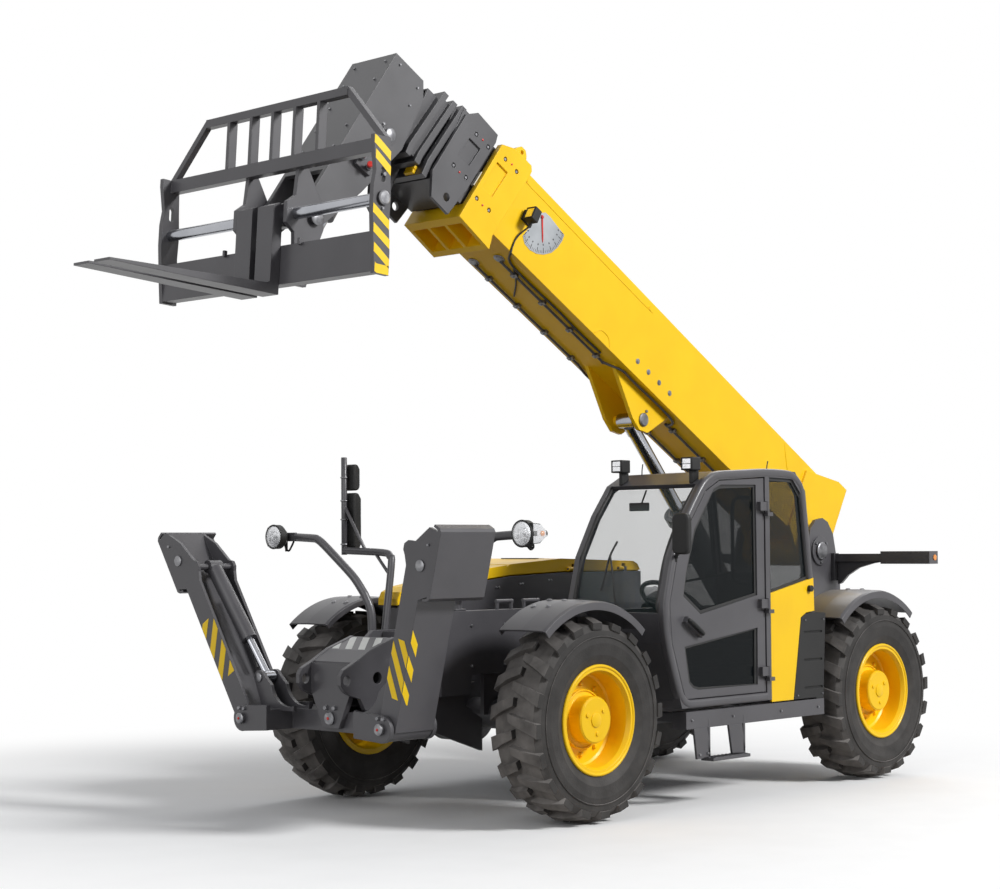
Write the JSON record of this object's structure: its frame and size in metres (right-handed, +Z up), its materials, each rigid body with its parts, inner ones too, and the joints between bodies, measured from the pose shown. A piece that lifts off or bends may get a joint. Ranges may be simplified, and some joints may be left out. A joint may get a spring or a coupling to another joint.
{
  "type": "telescopic handler",
  "caption": "Wheeled telescopic handler: yellow boom raised above a side cab, fork carriage on a gooseneck head, steered wheels and folded front outriggers.",
  "frame": {"origin": "bottom centre of the parked machine's box, on the ground", "axes": "+X forward along the boom's reach, +Y to the machine's left (cab side), +Z up"},
  "size_m": [7.0287, 2.8229, 4.7305],
  "materials": {
    "yellow_paint": "gloss paint",
    "charcoal_paint": "satin paint",
    "boom_grey": "satin paint",
    "tyre_rubber": "worn rubber",
    "rod_chrome": "polished",
    "cab_glazing": "clear",
    "black_plastic": "grained",
    "seat_cover": "woven",
    "engine_casting": "painted casting"
  },
  "bodies": {
    "chassis": {"frame": "charcoal_paint", "nose": "charcoal_paint", "stabilizer_beam": "charcoal_paint", "front_axle": "charcoal_paint", "rear_axle": "charcoal_paint", "engine_block": "engine_casting", "engine_bay": "charcoal_paint", "cab_frame": "charcoal_paint", "cab_glass": "cab_glazing", "seat": "seat_cover", "cab_controls": "black_plastic", "side_panel": "yellow_paint", "tank_cover": "black_plastic", "sill_step": "charcoal_paint", "front_box": "charcoal_paint", "lamp_guards": "charcoal_paint", "headlamps": "black_plastic", "cab_lights": "black_plastic", "rear_lamps": "charcoal_paint"},
    "door": {"door_frame": "charcoal_paint", "door_glass": "cab_glazing"},
    "hood": {"hood": "yellow_paint"},
    "boom": {"boom_base": "yellow_paint", "boom_lamp": "black_plastic"},
    "boom_second": {"boom_second": "boom_grey"},
    "boom_third": {"boom_third": "boom_grey"},
    "boom_head": {"boom_head": "boom_grey"},
    "carriage": {"carriage": "charcoal_paint", "forks": "charcoal_paint"},
    "lift_barrel": {"lift_barrel": "charcoal_paint"},
    "lift_rod": {"lift_rod": "rod_chrome"},
    "tilt_barrel": {"tilt_barrel": "charcoal_paint"},
    "tilt_rod": {"tilt_rod": "rod_chrome"},
    "knuckle_fl": {"knuckle_fl": "charcoal_paint"},
    "wheel_fl": {"tyre_fl": "tyre_rubber", "rim_fl": "yellow_paint"},
    "knuckle_fr": {"knuckle_fr": "charcoal_paint"},
    "wheel_fr": {"tyre_fr": "tyre_rubber", "rim_fr": "yellow_paint"},
    "knuckle_rl": {"knuckle_rl": "charcoal_paint"},
    "wheel_rl": {"tyre_rl": "tyre_rubber", "rim_rl": "yellow_paint"},
    "knuckle_rr": {"knuckle_rr": "charcoal_paint"},
    "wheel_rr": {"tyre_rr": "tyre_rubber", "rim_rr": "yellow_paint"},
    "outrigger_left": {"outrigger_left": "charcoal_paint"},
    "jack_barrel_left": {"jack_barrel_left": "charcoal_paint"},
    "jack_rod_left": {"jack_rod_left": "rod_chrome"},
    "outrigger_right": {"outrigger_right": "charcoal_paint"},
    "jack_barrel_right": {"jack_barrel_right": "charcoal_paint"},
    "jack_rod_right": {"jack_rod_right": "rod_chrome"}
  },
  "joints": [
    {"name": "steer_fl", "type": "hinge", "parent": "chassis", "child": "knuckle_fl", "pos_m": [0.64772, 0.85545, 0.625], "axis": [0, 0, 1], "range_deg": [-30, 30]},
    {"name": "spin_fl", "type": "hinge", "parent": "knuckle_fl", "child": "wheel_fl", "pos_m": [0.64772, 1.10545, 0.625], "axis": [0, 1, 0], "continuous": true},
    {"name": "steer_fr", "type": "hinge", "parent": "chassis", "child": "knuckle_fr", "pos_m": [0.64772, -0.64455, 0.625], "axis": [0, 0, 1], "range_deg": [-30, 30]},
    {"name": "spin_fr", "type": "hinge", "parent": "knuckle_fr", "child": "wheel_fr", "pos_m": [0.64772, -0.89455, 0.625], "axis": [0, 1, 0], "continuous": true},
    {"name": "steer_rl", "type": "hinge", "parent": "chassis", "child": "knuckle_rl", "pos_m": [-2.50228, 0.85545, 0.625], "axis": [0, 0, 1], "range_deg": [-30, 30]},
    {"name": "spin_rl", "type": "hinge", "parent": "knuckle_rl", "child": "wheel_rl", "pos_m": [-2.50228, 1.10545, 0.625], "axis": [0, 1, 0], "continuous": true},
    {"name": "steer_rr", "type": "hinge", "parent": "chassis", "child": "knuckle_rr", "pos_m": [-2.50228, -0.64455, 0.625], "axis": [0, 0, 1], "range_deg": [-30, 30]},
    {"name": "spin_rr", "type": "hinge", "parent": "knuckle_rr", "child": "wheel_rr", "pos_m": [-2.50228, -0.89455, 0.625], "axis": [0, 1, 0], "continuous": true},
    {"name": "boom_lift", "type": "hinge", "parent": "chassis", "child": "boom", "pos_m": [-2.95728, 0.10545, 1.63], "axis": [0, -1, 0], "range_deg": [-31, 38]},
    {"name": "boom_extend", "type": "slide", "parent": "boom", "child": "boom_second", "axis": [0.866, 0, 0.5], "range_m": [0, 3.4]},
    {"name": "third_extend", "type": "slide", "parent": "boom_second", "child": "boom_third", "axis": [0.866, 0, 0.5], "range_m": [0, 3.4]},
    {"name": "head_extend", "type": "slide", "parent": "boom_third", "child": "boom_head", "axis": [0.866, 0, 0.5], "range_m": [0, 3.4]},
    {"name": "fork_tilt", "type": "hinge", "parent": "boom_head", "child": "carriage", "pos_m": [2.10434, 0.10545, 3.61702], "axis": [0, 1, 0], "range_deg": [-32, 75]},
    {"name": "tilt_swing", "type": "hinge", "parent": "boom_head", "child": "tilt_barrel", "pos_m": [1.4633, 0.10545, 4.20532], "axis": [0, 1, 0], "range_deg": [-6, 11]},
    {"name": "tilt_stroke", "type": "slide", "parent": "tilt_barrel", "child": "tilt_rod", "axis": [0.5558, 0, -0.8313], "range_m": [-0.36, 0.16]},
    {"name": "lift_swing", "type": "hinge", "parent": "chassis", "child": "lift_barrel", "pos_m": [-2.52728, 0.10545, 0.95], "axis": [0, -1, 0], "range_deg": [-30, 36]},
    {"name": "lift_stroke", "type": "slide", "parent": "lift_barrel", "child": "lift_rod", "axis": [0.6661, 0, 0.7459], "range_m": [-0.41, 0.5]},
    {"name": "outrigger_left", "type": "hinge", "parent": "chassis", "child": "outrigger_left", "pos_m": [1.75772, 0.72545, 0.63], "axis": [-1, 0, 0], "range_deg": [0, 95]},
    {"name": "jack_swing_left", "type": "hinge", "parent": "outrigger_left", "child": "jack_barrel_left", "pos_m": [1.75772, 0.92367, 1.67303], "axis": [-1, 0, 0], "range_deg": [-2, 12]},
    {"name": "jack_stroke_left", "type": "slide", "parent": "jack_barrel_left", "child": "jack_rod_left", "axis": [0, -0.2708, -0.9626], "range_m": [-0.01, 0.36]},
    {"name": "outrigger_right", "type": "hinge", "parent": "chassis", "child": "outrigger_right", "pos_m": [1.75772, -0.51455, 0.63], "axis": [1, 0, 0], "range_deg": [-18, 77]},
    {"name": "jack_swing_right", "type": "hinge", "parent": "outrigger_right", "child": "jack_barrel_right", "pos_m": [1.75772, -1.02538, 1.56073], "axis": [1, 0, 0], "range_deg": [-2, 12]},
    {"name": "jack_stroke_right", "type": "slide", "parent": "jack_barrel_right", "child": "jack_rod_right", "axis": [0, 0.617, -0.787], "range_m": [-0.08, 0.31]},
    {"name": "door_hinge", "type": "hinge", "parent": "chassis", "child": "door", "pos_m": [-1.10828, 1.27545, 1.4], "axis": [0, 0, 1], "range_deg": [0, 95]},
    {"name": "hood_hinge", "type": "hinge", "parent": "chassis", "child": "hood", "pos_m": [-0.92728, -0.24455, 1.515], "axis": [-1, 0, 0], "range_deg": [0, 60]}
  ],
  "couplings": [
    {"joint": "steer_fr", "follows": "steer_fl", "ratio": 1},
    {"joint": "steer_rr", "follows": "steer_rl", "ratio": 1},
    {"joint": "third_extend", "follows": "boom_extend", "ratio": 1},
    {"joint": "head_extend", "follows": "boom_extend", "ratio": 1},
    {"joint": "tilt_swing", "follows": "fork_tilt", "ratio": 0.12},
    {"joint": "tilt_stroke", "follows": "fork_tilt", "m_per_rad": -0.2636},
    {"joint": "lift_swing", "follows": "boom_lift", "ratio": 0.885},
    {"joint": "lift_stroke", "follows": "boom_lift", "m_per_rad": 0.7277},
    {"joint": "jack_swing_left", "follows": "outrigger_left", "ratio": 0.095},
    {"joint": "jack_stroke_left", "follows": "outrigger_left", "m_per_rad": 0.2097},
    {"joint": "jack_swing_right", "follows": "outrigger_right", "ratio": 0.06},
    {"joint": "jack_stroke_right", "follows": "outrigger_right", "m_per_rad": 0.2235}
  ]
}
